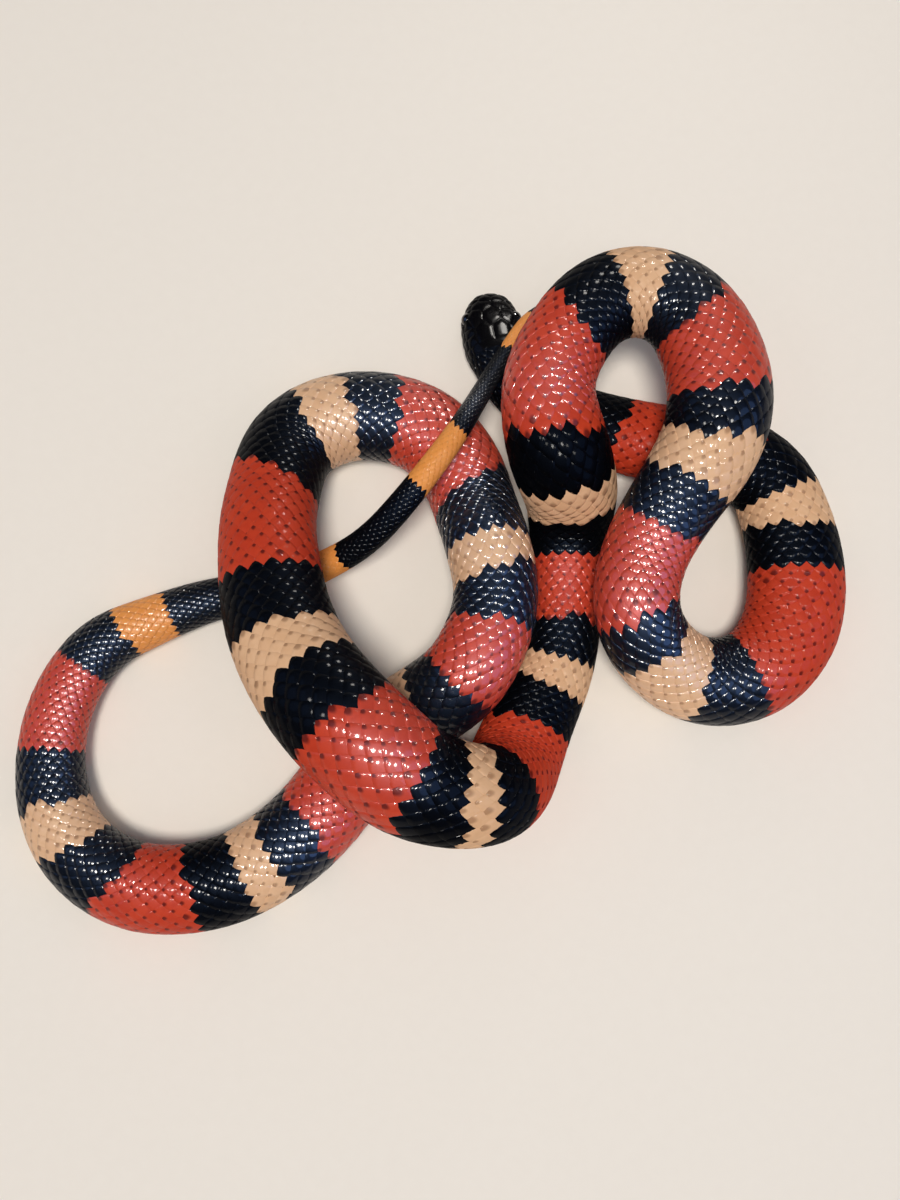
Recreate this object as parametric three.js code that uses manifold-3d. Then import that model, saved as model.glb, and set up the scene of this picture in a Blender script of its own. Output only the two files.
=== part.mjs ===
// A milk snake lying in its own loops, life size, in millimetres, with +Z up and the floor at z = 0.
// The body is one long tube of loaf-shaped sections, lofted along the route of its belly and parted
// into lengths by plane cuts. The origin lies on the floor, under the middle of the coils.
import * as THREE from 'three';
import { mergeVertices } from 'three/addons/utils/BufferGeometryUtils.js';
import Module from 'manifold-3d';

const wasm = await Module();
wasm.setup();

// Driving dimensions
const BODY_SIDES = 20; // corners of a section of the body
const SECTION_STEP = 4.6; // spacing of the sections along the body
const FACE_GAP = 0.3; // gap between the end faces of two lengths, and between eye and socket
const HEAD_LENGTH = 18.5; // snout to the cut behind the jaw
const VENT_AT = 786; // where the tail starts, measured from the snout
const TAIL_POINT = 1.6; // length of the horny cone that ends the tail
const BODY_ROUNDNESS = 0.93; // height of a section over its width
const NECK_ROUNDNESS = 0.8; // the same, just behind the head
const ROUND_FROM = 80; // where the neck has reached the body's roundness
const BELLY_SPREAD = 1.06; // how far the round underside would sink below the flat it rests on
const MEAN_LENGTH = 46; // usual length of one length of the body

// The head, as distance from the snout, half width, height of the crown and height of the chin
const HEAD_STATIONS = [
  [0.3, 2.6, 4.9, 2.2],
  [1.0, 3.9, 5.8, 1.3],
  [2.6, 5.3, 6.8, 0.6],
  [5.4, 6.5, 8.0, 0.1],
  [8.0, 7.1, 8.8, 0],
  [12.0, 7.15, 9.7, 0],
  [15.5, 6.9, 10.2, 0],
  [18.5, 6.4, 10.4, 0],
];
const HEAD_RING_STEPS = [0.3, 0.65, 1.2, 2.0, 3.0, 4.2, 5.4, 6.8, 8.2, 9.8, 11.6, 13.4, 15.0, 16.6];
const WIDEST_AT = 0.4; // height of the widest line, as a share of the head's height
const SIDE_SQUARENESS = 0.78; // power that squares the cheeks and the chin
const CROWN_SQUARENESS = 0.86; // power that flattens the crown
const MOUTH_DEPTH = 0.4; // depth of the line of the mouth
const MOUTH_END = 15.2; // distance from the snout to the corner of the mouth
const LIP_SWELL = 0.14; // how far the lips stand out
const BROW_SWELL = 0.3; // ridge of the large scale above the eye
const BROW_REACH = 3.2; // how far it runs before and behind the eye
const EYE_RADIUS = 1.8;
const EYE_AT = [6.9, 1.35, 5.6]; // distance from the snout, depth below the cheek, height
const NOSTRIL_RADIUS = 0.45;
const NOSTRIL_AT = [1.75, 0.12, 4.9]; // the same for the nostril

// Corners of a head section on one side, in degrees from the widest line, chin to crown.
// The three named ones follow the line of the mouth.
const LOWER_LIP = -26;
const MOUTH = -17;
const UPPER_LIP = -8;
const HEAD_CORNERS = [-90, -66, -44, LOWER_LIP, MOUTH, UPPER_LIP, 8, 24, 40, 56, 73, 90];

// The route of the belly, head to tail: x, y, lift of the belly over the floor, half width of the body
const ROUTE = [
  // head and neck, flat on the floor under the high arch
  [13.5, 71.5, 0, 2.6],
  [13.5, 65, 0, 5.4],
  [14, 59, 0, 6.5],
  [18.5, 48.5, 0, 6.6],
  [31.5, 40, 0, 8.2],
  [48, 34.5, 0, 9],
  [68.5, 30.5, 0, 9.3],
  // right loop
  [75.5, 25, 0, 9.6],
  [79, 15.5, 0, 10.1],
  [80.5, 4, 0, 10.8],
  [78.5, -9.5, 0, 10.8],
  [70.5, -19, 0, 10.1],
  [59.5, -21, 1, 9.7],
  [49.5, -16.5, 6, 9.4],
  // up over the neck and round the high arch
  [43.5, -8, 12, 9.3],
  [45, 4, 12.5, 9.4],
  [52, 16.5, 15, 9.8],
  [58.5, 26, 18, 10.8],
  [61.5, 36, 18, 11.5],
  [60, 48.5, 17.5, 11.2],
  [54.7, 58.7, 17, 10.3],
  [45.6, 62.8, 17, 10],
  [36.4, 60.3, 17, 9.8],
  [29.4, 52, 17, 9.7],
  [24.9, 41, 17, 10.1],
  // steep drop to the low run between the two loops
  [27.2, 27, 14.5, 11.4],
  [30.8, 20, 5, 10.6],
  [30.4, 12.5, 0, 8.8],
  [30, 0, 0, 8.1],
  [27.3, -17.5, 0, 8.4],
  [21.9, -28.2, 0, 9.6],
  // steep rise, and the thick middle that lies over the loop of the tail
  [17.5, -39, 3, 10.2],
  [15, -44, 9.5, 10.3],
  [9.5, -46.5, 16, 10.7],
  [-3, -44, 20.5, 11.8],
  [-10, -39, 22.5, 12.4],
  [-19, -30.5, 22, 12.4],
  [-27, -20, 18, 12],
  [-32, -9, 15, 11.6],
  // left loop
  [-35.1, 9.5, 11, 10.6],
  [-35, 18, 6.5, 10.4],
  [-31.7, 33, 0.5, 10.4],
  [-24, 38.5, 0, 10.3],
  [-13, 40, 0, 10.2],
  [-1.5, 36.5, 0, 10.1],
  [6, 28.5, 0, 9.8],
  [9.5, 18.5, 1.5, 9.5],
  [12.5, 7, 8, 9.5],
  [14, -4.5, 9.5, 9.2],
  [7.5, -20.5, 10.5, 9.5],
  [-4, -28, 2.5, 9.7],
  // under the thick middle and round the loop of the tail
  [-13.5, -34.5, 0, 9.8],
  [-20.5, -45, 0, 9.7],
  [-29, -54.5, 0, 9.7],
  [-41.5, -62.5, 0, 9.6],
  [-52, -65, 0, 9.6],
  [-63, -64.5, 0, 9.5],
  [-73.3, -59.3, 0, 8.9],
  [-80.1, -50.5, 0, 8.2],
  [-82.9, -38.5, 0, 7.5],
  [-81, -24.6, 0, 7.1],
  [-73.3, -12.2, 0, 6.6],
  [-62.5, -6.7, 0, 5.8],
  [-51, -2.1, 0, 5.1],
  [-37, 1.2, 0, 4.4],
  // the thin tail, over the left loop and the head, then down under the high arch
  [-24, 5.5, 4.2, 3.6],
  [-13.5, 9.8, 12.8, 3.4],
  [-5.5, 16.8, 19.5, 3.25],
  [1.3, 25, 22, 3.05],
  [6.8, 33.8, 20.2, 2.75],
  [12.2, 45, 14.3, 2.4],
  [18.1, 56, 11.2, 2.1],
  [22, 63, 8.6, 1.85],
  [29.5, 69, 3.5, 1.5],
  [40.5, 73.5, 0, 0.9],
];
const SPAN_SAMPLES = 16; // samples of the curve between two points of the route
const SPINE_STEP = 2; // spacing of the evened samples along the body
const SPINE_PASSES = 6; // rounds of averaging that ease the bends

// Colours and finish of the scales and the eyes
const SCALE_RED = '#c8412b';
const SCALE_BLACK = '#0d0f16';
const SCALE_CREAM = '#e2b27a';
const SCALE_ROUGHNESS = 0.32;
const EYE_BLACK = '#050507';
const EYE_ROUGHNESS = 0.08;

const mix = (a, b, t) => a + (b - a) * t;
const clamp01 = (t) => Math.min(Math.max(t, 0), 1);
const radians = THREE.MathUtils.degToRad;

// The body's own line: evenly spaced samples of x, y, lift and half width
function traceSpine() {
  const curve = new THREE.CatmullRomCurve3(
    ROUTE.map(([x, y, lift]) => new THREE.Vector3(x, y, lift)), false, 'centripetal');
  const spans = ROUTE.length - 1;
  const fine = [];
  for (let i = 0; i <= spans * SPAN_SAMPLES; i += 1) {
    const span = Math.min(Math.floor(i / SPAN_SAMPLES), spans - 1);
    const share = i / SPAN_SAMPLES - span;
    const at = curve.getPoint(i / (spans * SPAN_SAMPLES));
    fine.push([at.x, at.y, at.z, mix(ROUTE[span][3], ROUTE[span + 1][3], share)]);
  }
  const along = [0];
  for (let i = 1; i < fine.length; i += 1) {
    const [p, q] = [fine[i - 1], fine[i]];
    along.push(along[i - 1] + Math.hypot(q[0] - p[0], q[1] - p[1], q[2] - p[2]));
  }
  const length = along[along.length - 1];
  const count = Math.round(length / SPINE_STEP);
  let samples = [];
  let k = 0;
  for (let i = 0; i <= count; i += 1) {
    const s = (length * i) / count;
    while (k < along.length - 2 && along[k + 1] < s) k += 1;
    const t = (s - along[k]) / (along[k + 1] - along[k]);
    samples.push(fine[k].map((value, n) => mix(value, fine[k + 1][n], t)));
  }
  for (let pass = 0; pass < SPINE_PASSES; pass += 1) {
    samples = samples.map((now, i) => (i === 0 || i === count ? now
      : now.map((value, n) => (samples[i - 1][n] + 2 * value + samples[i + 1][n]) / 4)));
  }
  return { samples, length, step: length / count };
}

const spine = traceSpine();

// The frame of the body at a distance from the snout: foot of the section on the belly, half width,
// and the unit vectors forward to the tail, to the side and up
function frameAt(s) {
  const last = spine.samples.length - 1;
  const at = Math.min(Math.max(s / spine.step, 0), last);
  const i = Math.min(Math.floor(at), last - 1);
  const [x, y, lift, halfWidth] = spine.samples[i].map((value, n) => mix(value, spine.samples[i + 1][n], at - i));
  const slopeAt = (j) => {
    const before = spine.samples[Math.max(j - 1, 0)];
    const after = spine.samples[Math.min(j + 1, last)];
    return new THREE.Vector3(after[0] - before[0], after[1] - before[1], after[2] - before[2]).normalize();
  };
  const forward = slopeAt(i).lerp(slopeAt(i + 1), at - i).normalize();
  const side = new THREE.Vector3(forward.y, -forward.x, 0).normalize();
  const up = new THREE.Vector3().crossVectors(side, forward);
  return { foot: new THREE.Vector3(x, y, Math.max(lift, 0)), halfWidth, forward, side, up };
}

const roundnessAt = (s) => mix(NECK_ROUNDNESS, BODY_ROUNDNESS, clamp01((s - HEAD_LENGTH) / (ROUND_FROM - HEAD_LENGTH)));

// One loaf-shaped section of the body: round above, flattened where the belly rests
function bodySection(s) {
  const { foot, halfWidth, side, up } = frameAt(s);
  const halfHeight = halfWidth * roundnessAt(s);
  const middle = foot.clone().setZ(foot.z + halfHeight);
  return Array.from({ length: BODY_SIDES }, (_, n) => {
    const angle = (2 * Math.PI * n) / BODY_SIDES;
    const rise = Math.sin(angle) > 0 ? Math.sin(angle) : Math.max(-1, BELLY_SPREAD * Math.sin(angle));
    return middle.clone().addScaledVector(side, halfWidth * Math.cos(angle)).addScaledVector(up, halfHeight * rise);
  });
}

// Smooth value of one column of the head's stations at a distance from the snout
function headValue(column, s) {
  const rows = HEAD_STATIONS;
  let i = 0;
  while (i < rows.length - 2 && rows[i + 1][0] < s) i += 1;
  const [p, q] = [rows[Math.max(i - 1, 0)], rows[i]];
  const [r, t] = [rows[i + 1], rows[Math.min(i + 2, rows.length - 1)]];
  const gap = r[0] - q[0];
  const u = clamp01((s - q[0]) / gap);
  const slopeQ = ((r[column] - p[column]) / (r[0] - p[0])) * gap;
  const slopeR = ((t[column] - q[column]) / (t[0] - q[0])) * gap;
  return (2 * u ** 3 - 3 * u ** 2 + 1) * q[column] + (u ** 3 - 2 * u ** 2 + u) * slopeQ
    + (3 * u ** 2 - 2 * u ** 3) * r[column] + (u ** 3 - u ** 2) * slopeR;
}

// A point of the head: its corner angle gives the place round the section, chin to crown
function headPoint(s, degrees, hand) {
  const { foot, side, up, forward } = frameAt(s);
  const [width, crown, chin] = [1, 2, 3].map((column) => headValue(column, s));
  const widest = mix(chin, crown, WIDEST_AT);
  const angle = radians(degrees);
  const mouthOpen = clamp01((MOUTH_END - s) / 1.5);
  const brow = BROW_SWELL * Math.max(0, 1 - Math.abs(s - EYE_AT[0]) / BROW_REACH);
  let out = width * Math.cos(angle) ** SIDE_SQUARENESS;
  let height = widest + (degrees < 0
    ? -(widest - chin) * Math.abs(Math.sin(angle)) ** SIDE_SQUARENESS
    : (crown - widest) * Math.sin(angle) ** CROWN_SQUARENESS);
  let back = 0;
  if (degrees === MOUTH) {
    out -= MOUTH_DEPTH * mouthOpen;
    if (s <= HEAD_RING_STEPS[0]) back = MOUTH_DEPTH;
  }
  if (degrees === LOWER_LIP || degrees === UPPER_LIP) out += LIP_SWELL * mouthOpen;
  if (degrees > 35 && degrees < 60) {
    out += brow;
    height += brow / 2;
  }
  return foot.clone().addScaledVector(side, hand * out).addScaledVector(up, height).addScaledVector(forward, back);
}

// The head's section runs from the chin up one side to the crown and down the other
function headSection(s) {
  const right = HEAD_CORNERS.map((degrees) => headPoint(s, degrees, degrees === -90 || degrees === 90 ? 0 : 1));
  const left = HEAD_CORNERS.slice(1, -1).reverse().map((degrees) => headPoint(s, degrees, -1));
  return [...right, ...left];
}

// A closed skin through sections of equal count, with flat or pointed ends
function loft(sections, { startFaces, endTip } = {}) {
  const sides = sections[0].length;
  const positions = sections.flat().flatMap((point) => point.toArray());
  const faces = [];
  for (let i = 0; i < sections.length - 1; i += 1) {
    for (let j = 0; j < sides; j += 1) {
      const [a, b] = [i * sides + j, i * sides + ((j + 1) % sides)];
      faces.push(a, a + sides, b + sides, a, b + sides, b);
    }
  }
  const middleOf = (ring) => ring.reduce((sum, point) => sum.add(point), new THREE.Vector3()).divideScalar(sides);
  if (startFaces) {
    faces.push(...startFaces);
  } else {
    const start = positions.length / 3;
    positions.push(...middleOf(sections[0]).toArray());
    for (let j = 0; j < sides; j += 1) faces.push(start, j, (j + 1) % sides);
  }
  const end = positions.length / 3;
  const first = (sections.length - 1) * sides;
  positions.push(...(endTip ?? middleOf(sections[sections.length - 1])).toArray());
  for (let j = 0; j < sides; j += 1) faces.push(end, first + ((j + 1) % sides), first + j);
  const geometry = new THREE.BufferGeometry();
  geometry.setAttribute('position', new THREE.Float32BufferAttribute(positions, 3));
  geometry.setIndex(faces);
  return geometry;
}

// The front of the snout, closed by bands between its left and right corners
function snoutFaces(sides) {
  const faces = [];
  for (let k = 0; k < sides / 2; k += 1) {
    const [right, nextRight] = [k, k + 1];
    const [left, nextLeft] = [(sides - k) % sides, sides - k - 1];
    if (left !== right) faces.push(left, right, nextRight);
    if (nextLeft !== nextRight) faces.push(left, nextRight, nextLeft);
  }
  return faces;
}

function solidOf(geometry) {
  const bare = geometry.clone();
  bare.deleteAttribute('normal');
  bare.deleteAttribute('uv');
  const merged = mergeVertices(bare, 1e-5);
  return new wasm.Manifold(new wasm.Mesh({
    numProp: 3,
    vertProperties: new Float32Array(merged.attributes.position.array),
    triVerts: new Uint32Array(merged.index.array),
  }));
}

function geometryOf(solid) {
  const mesh = solid.getMesh();
  const geometry = new THREE.BufferGeometry();
  geometry.setAttribute('position', new THREE.Float32BufferAttribute(mesh.vertProperties, 3));
  geometry.setIndex([...mesh.triVerts]);
  return geometry;
}

const ball = (radius, detail, centre) => new THREE.IcosahedronGeometry(radius, detail).translate(...centre.toArray());

// A place on the cheek, from distance behind the snout, depth below the skin and height
function cheekPoint([s, depth, height], hand) {
  const { foot, side, up } = frameAt(s);
  return foot.clone().addScaledVector(side, hand * (headValue(1, s) - depth)).addScaledVector(up, height);
}

const parts = new THREE.Group();

function addPart(name, geometry, color, roughness) {
  const material = new THREE.MeshStandardMaterial({ color, roughness, metalness: 0 });
  const mesh = new THREE.Mesh(geometry, material);
  mesh.name = name;
  parts.add(mesh);
}

function addHead() {
  const stations = [...HEAD_RING_STEPS, HEAD_LENGTH - FACE_GAP / 2];
  const sides = 2 * (HEAD_CORNERS.length - 1);
  let head = solidOf(loft(stations.map(headSection), { startFaces: snoutFaces(sides) }));
  for (const hand of [-1, 1]) {
    head = head.subtract(solidOf(ball(EYE_RADIUS + FACE_GAP, 4, cheekPoint(EYE_AT, hand))));
    head = head.subtract(solidOf(ball(NOSTRIL_RADIUS, 1, cheekPoint(NOSTRIL_AT, hand))));
  }
  addPart('head', geometryOf(head), SCALE_BLACK, SCALE_ROUGHNESS);
  addPart('eye_left', ball(EYE_RADIUS, 4, cheekPoint(EYE_AT, 1)), EYE_BLACK, EYE_ROUGHNESS);
  addPart('eye_right', ball(EYE_RADIUS, 4, cheekPoint(EYE_AT, -1)), EYE_BLACK, EYE_ROUGHNESS);
}

// One length of the body between two cuts
function addLength(name, from, to, color, endTip) {
  const start = from + FACE_GAP / 2;
  const end = endTip ? to : to - FACE_GAP / 2;
  const steps = Math.max(2, Math.round((end - start) / SECTION_STEP));
  const sections = Array.from({ length: steps + 1 }, (_, i) => bodySection(mix(start, end, i / steps)));
  addPart(name, loft(sections, { endTip }), color, SCALE_ROUGHNESS);
}

function addBody() {
  const neckEnd = HEAD_LENGTH + MEAN_LENGTH;
  addLength('neck', HEAD_LENGTH, neckEnd, SCALE_BLACK);
  const count = Math.round((VENT_AT - neckEnd) / MEAN_LENGTH);
  for (let i = 0; i < count; i += 1) {
    const name = `body_${String(i + 1).padStart(2, '0')}`;
    const color = i % 2 ? SCALE_CREAM : SCALE_RED;
    addLength(name, mix(neckEnd, VENT_AT, i / count), mix(neckEnd, VENT_AT, (i + 1) / count), color);
  }
}

function addTail() {
  const tipAt = spine.length - TAIL_POINT;
  const { foot, forward, up, halfWidth } = frameAt(tipAt);
  const tip = foot.clone().addScaledVector(up, halfWidth * BODY_ROUNDNESS).addScaledVector(forward, TAIL_POINT);
  const cuts = [0, 1, 2, 3].map((i) => mix(VENT_AT, tipAt, i / 3));
  addLength('tail_base', cuts[0], cuts[1], SCALE_BLACK);
  addLength('tail_middle', cuts[1], cuts[2], SCALE_CREAM);
  addLength('tail_tip', cuts[2], cuts[3], SCALE_BLACK, tip);
}

addHead();
addBody();
addTail();

export default parts;
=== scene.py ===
"""A milk snake lying in its own loops, life size.

One skin covers all of its flesh, and its scales, belly plates and eyes lie on it.
Lengths are millimetres in the snake's own frame until a mesh is made: +Z up, the floor at 0.
A place on the animal is its distance behind the snout and its turn round the section, in degrees:
0 on the animal's left, 90 on its back, 180 on its right, -90 on its belly.
"""
import math

import bmesh
import bpy
import numpy as np
from mathutils import Matrix, Vector


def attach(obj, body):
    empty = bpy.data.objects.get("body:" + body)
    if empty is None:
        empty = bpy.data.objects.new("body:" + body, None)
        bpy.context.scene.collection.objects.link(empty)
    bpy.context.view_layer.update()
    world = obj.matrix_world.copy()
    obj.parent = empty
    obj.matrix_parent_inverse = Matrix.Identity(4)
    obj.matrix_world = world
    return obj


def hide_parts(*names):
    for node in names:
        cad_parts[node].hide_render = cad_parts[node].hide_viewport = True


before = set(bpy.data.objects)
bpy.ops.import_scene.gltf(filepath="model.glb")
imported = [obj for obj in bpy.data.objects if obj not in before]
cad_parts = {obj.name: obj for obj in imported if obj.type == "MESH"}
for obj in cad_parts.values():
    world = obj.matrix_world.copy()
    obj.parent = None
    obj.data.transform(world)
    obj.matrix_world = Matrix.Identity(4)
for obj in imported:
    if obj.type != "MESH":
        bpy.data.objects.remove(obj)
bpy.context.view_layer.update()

MM = 0.001
FLESH_NODES = [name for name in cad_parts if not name.startswith("eye_")]

# Body, as in the solids
SPAN_SAMPLES = 16  # samples of the curve between two points of the route
SPINE_STEP = 2.0  # spacing of the evened samples along the body
SPINE_PASSES = 6  # rounds of averaging that ease the bends
HEAD_LENGTH = 18.5
VENT_AT = 786.0
TAIL_POINT = 1.6  # horny cone that ends the tail
BODY_ROUNDNESS = 0.93  # height of a section over its width
NECK_ROUNDNESS = 0.8
ROUND_FROM = 80.0  # where the neck has reached the body's roundness
BELLY_SPREAD = 1.06  # how far the round underside would sink below the flat it rests on
POINT_TAPER = 1.6  # power that hollows the cone of the tail's tip

# Head, as in the solids: distance from the snout, half width, height of the crown and of the chin
HEAD_STATIONS = np.array([
    (0.3, 2.6, 4.9, 2.2),
    (1.0, 3.9, 5.8, 1.3),
    (2.6, 5.3, 6.8, 0.6),
    (5.4, 6.5, 8.0, 0.1),
    (8.0, 7.1, 8.8, 0.0),
    (12.0, 7.15, 9.7, 0.0),
    (15.5, 6.9, 10.2, 0.0),
    (18.5, 6.4, 10.4, 0.0),
])
WIDEST_AT = 0.4  # height of the widest line, as a share of the head's height
SIDE_SQUARENESS = 0.78
CROWN_SQUARENESS = 0.86
MOUTH_TURN = -17.0
MOUTH_END = 15.2
BROW_SWELL = 0.3
BROW_REACH = 3.2
BROW_FROM = (30, 42)  # turns over which the ridge rises above the eye
BROW_TO = (54, 68)  # and over which it runs out into the crown
EYE_RADIUS = 1.65
EYE_AT = (6.9, 1.6, 5.6)  # distance from the snout, depth below the cheek, height
NOSTRIL_AT = (1.75, 4.9)  # distance from the snout, height
NECK_BLEND = (15.5, 20.0)  # where the head's section turns into the neck's

# The route of the belly, snout to tail tip: x, y, lift of the belly over the floor, half width
ROUTE = np.array([
    # head and neck, under the high arch
    (13.5, 71.5, 0, 2.6), (13.5, 65, 0, 5.4), (14, 59, 0, 6.5), (18.5, 48.5, 0, 6.6),
    (31.5, 40, 0, 8.2), (48, 34.5, 0, 9), (68.5, 30.5, 0, 9.3),
    # right loop
    (75.5, 25, 0, 9.6), (79, 15.5, 0, 10.1), (80.5, 4, 0, 10.8), (78.5, -9.5, 0, 10.8),
    (70.5, -19, 0, 10.1), (59.5, -21, 1, 9.7), (49.5, -16.5, 6, 9.4),
    # up over the neck and round the high arch
    (43.5, -8, 12, 9.3), (45, 4, 12.5, 9.4), (52, 16.5, 15, 9.8), (58.5, 26, 18, 10.8),
    (61.5, 36, 18, 11.5), (60, 48.5, 17.5, 11.2), (54.7, 58.7, 17, 10.3), (45.6, 62.8, 17, 10),
    (36.4, 60.3, 17, 9.8), (29.4, 52, 17, 9.7), (24.9, 41, 17, 10.1),
    # steep drop to the low run between the two loops
    (27.2, 27, 14.5, 11.4), (30.8, 20, 5, 10.6), (30.4, 12.5, 0, 8.8), (30, 0, 0, 8.1),
    (27.3, -17.5, 0, 8.4), (21.9, -28.2, 0, 9.6),
    # steep rise, and the thick middle over the loop of the tail
    (17.5, -39, 3, 10.2), (15, -44, 9.5, 10.3), (9.5, -46.5, 16, 10.7), (-3, -44, 20.5, 11.8),
    (-10, -39, 22.5, 12.4), (-19, -30.5, 22, 12.4), (-27, -20, 18, 12), (-32, -9, 15, 11.6),
    # left loop
    (-35.1, 9.5, 11, 10.6), (-35, 18, 6.5, 10.4), (-31.7, 33, 0.5, 10.4), (-24, 38.5, 0, 10.3),
    (-13, 40, 0, 10.2), (-1.5, 36.5, 0, 10.1), (6, 28.5, 0, 9.8), (9.5, 18.5, 1.5, 9.5),
    (12.5, 7, 8, 9.5), (14, -4.5, 9.5, 9.2), (7.5, -20.5, 10.5, 9.5), (-4, -28, 2.5, 9.7),
    # under the thick middle and round the loop of the tail
    (-13.5, -34.5, 0, 9.8), (-20.5, -45, 0, 9.7), (-29, -54.5, 0, 9.7), (-41.5, -62.5, 0, 9.6),
    (-52, -65, 0, 9.6), (-63, -64.5, 0, 9.5), (-73.3, -59.3, 0, 8.9), (-80.1, -50.5, 0, 8.2),
    (-82.9, -38.5, 0, 7.5), (-81, -24.6, 0, 7.1), (-73.3, -12.2, 0, 6.6), (-62.5, -6.7, 0, 5.8),
    (-51, -2.1, 0, 5.1), (-37, 1.2, 0, 4.4),
    # the thin tail, over the left loop and the head, then down under the high arch
    (-24, 5.5, 4.2, 3.6), (-13.5, 9.8, 12.8, 3.4), (-5.5, 16.8, 19.5, 3.25), (1.3, 25, 22, 3.05),
    (6.8, 33.8, 20.2, 2.75), (12.2, 45, 14.3, 2.4), (18.1, 56, 11.2, 2.1), (22, 63, 8.6, 1.85),
    (29.5, 69, 3.5, 1.5), (40.5, 73.5, 0, 0.9),
], dtype=float)

# The rings: where each ends on the back, and how much further forward it ends on the left side.
# They run black, cream, black, red.
RINGS = [
    (26, 0), (36, 0), (51.2, 0), (80, 0), (90.6, 0.6), (99, 1.2), (109.5, 0), (136.3, 0.6), (150, -1),
    (162.7, 0), (171.5, -1.8), (191.5, -0.6), (202.7, -1.5), (211.6, -2.1), (220.7, -2), (239.7, -2),
    (250.8, -0.9), (259.8, 0.3), (272.8, 2.4), (297.8, 1.5), (307, 0.9), (317, -1.5), (329.5, 0),
    (343.5, 0), (352, 0.9), (358.7, 0), (369.3, 0), (388, 0), (395, 0), (400.7, -1), (410.5, 0),
    (427.3, 1.5), (439.2, 0), (450.3, 0.9), (465.3, 0), (488.5, 4.3), (507.3, 1.5), (518, -1.5),
    (528.5, -2.4), (555, -3), (570.5, 0), (577.7, -1.8), (588.5, -1.2), (601.7, -0.6), (609.3, 0),
    (619, 0), (629, 0), (648.5, 1.8), (658.7, 1.9), (666.3, 0), (677.6, -0.9), (693.3, 2.8), (705.2, 2.1),
    (715.7, 0), (727.8, 0), (748.8, 0), (760.3, 0), (770.7, 0), (802, 0), (813.5, 0), (838.2, 0),
    (853.5, 0), (880.8, 0), (892, 0), (930, 0),
]
ORANGE_FROM = 766.0  # rings that end behind this are orange instead of cream or red
RING_WAVER = 0.45  # how far a ring's edge strays round the body
SHORT_WAVER = 0.6  # share of its shorter waves in that

# Painted sheen along the body: distance behind the snout and strength. It sets how strongly each stretch of
# scales shows bluish sheen on black, pinkish sheen on red, and glints
PAINTED_SHEEN = [
    (0, 0.15), (85, 0.1), (132, 0.1), (140, 0.6), (153, 0.8), (160, 1), (190, 1), (203, 0.6), (212, 0.15),
    (225, 0.6), (250, 0.5), (258, 0.1), (272, 0.15), (282, 0.5), (290, 1.1), (295, 0.6), (299, 0),
    (328, 0.05), (335, 0.7), (345, 0.3), (358, 0.05), (408, 0.05), (418, 0.7), (427, 0.4), (430, 0.12),
    (465, 0.12), (485, 0.1), (495, 0.15), (505, 0.3), (515, 0.9), (545, 1), (556, 1.5), (572, 1.5),
    (580, 1), (590, 1), (602, 0.8), (640, 0.6), (655, 1), (665, 0.5), (673, 0.15), (684, 0.3), (700, 0.8),
    (735, 0.9), (780, 0.8), (800, 0.15), (840, 0.15), (856, 0.3), (863, 1.1), (870, 0.35), (880, 0.2),
    (890, 0.4), (915, 0.4),
]

# Scales of the back and sides
SKIN_DEPTH = 0.27  # the skin under the scales lies this far inside the solids
DEPTH_FADE = 12.0  # and comes up to them over this length of the tail's end
FULL_RELIEF = 6.0  # half width from which the scales have their whole height
SCALE_PITCH = 3.55  # tip to tip along one row, where the body is 20 mm wide
PITCH_GROWTH = 0.45  # power by which the scales shrink where the body is thinner
BODY_ROWS = 21
TAIL_ROWS = 15
BACK_SPACING = 8.9  # degrees between two rows on the back
FLANK_SPREAD = 0.18  # and how much wider they are spaced towards the belly
TAIL_ROWS_FROM = 808.0  # the rows are fewer from here
COAT_FROM = 15.3  # tips of the first scales behind the large head shields
COAT_STOP = 1.2  # the last tips lie this far before the tail's end

# Belly plates
PLATE_HALF_TURN = 71.0
PLATES_FROM = 17.0
PLATES_STOP = 3.0  # the last ones end this far before the tail's end
PAIR_OVERLAP = 1.5  # degrees by which the paired plates of the tail overlap at the middle
FLOOR_GAP = 0.01  # no plate comes nearer to the floor


def mix(a, b, t):
    return a + (b - a) * t


def smoothstep(low, high, x):
    t = np.clip((x - low) / (high - low), 0, 1)
    return t * t * (3 - 2 * t)


def unit(v):
    return v / np.maximum(np.linalg.norm(v, axis=-1, keepdims=True), 1e-12)


def hermite(start, leave, end, arrive, gap, t):
    """Smooth way over a gap from a start to an end, with a slope at each."""
    place = (2 * t**3 - 3 * t**2 + 1) * start + (t**3 - 2 * t**2 + t) * leave * gap
    return place + (3 * t**2 - 2 * t**3) * end + (t**3 - t**2) * arrive * gap


def linear(hex_colour):
    """sRGB hex to the linear colour that the shaders take."""
    parts = [int(hex_colour[i:i + 2], 16) / 255 for i in (1, 3, 5)]
    return [p / 12.92 if p <= 0.04045 else ((p + 0.055) / 1.055) ** 2.4 for p in parts]


# The body's own line


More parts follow.
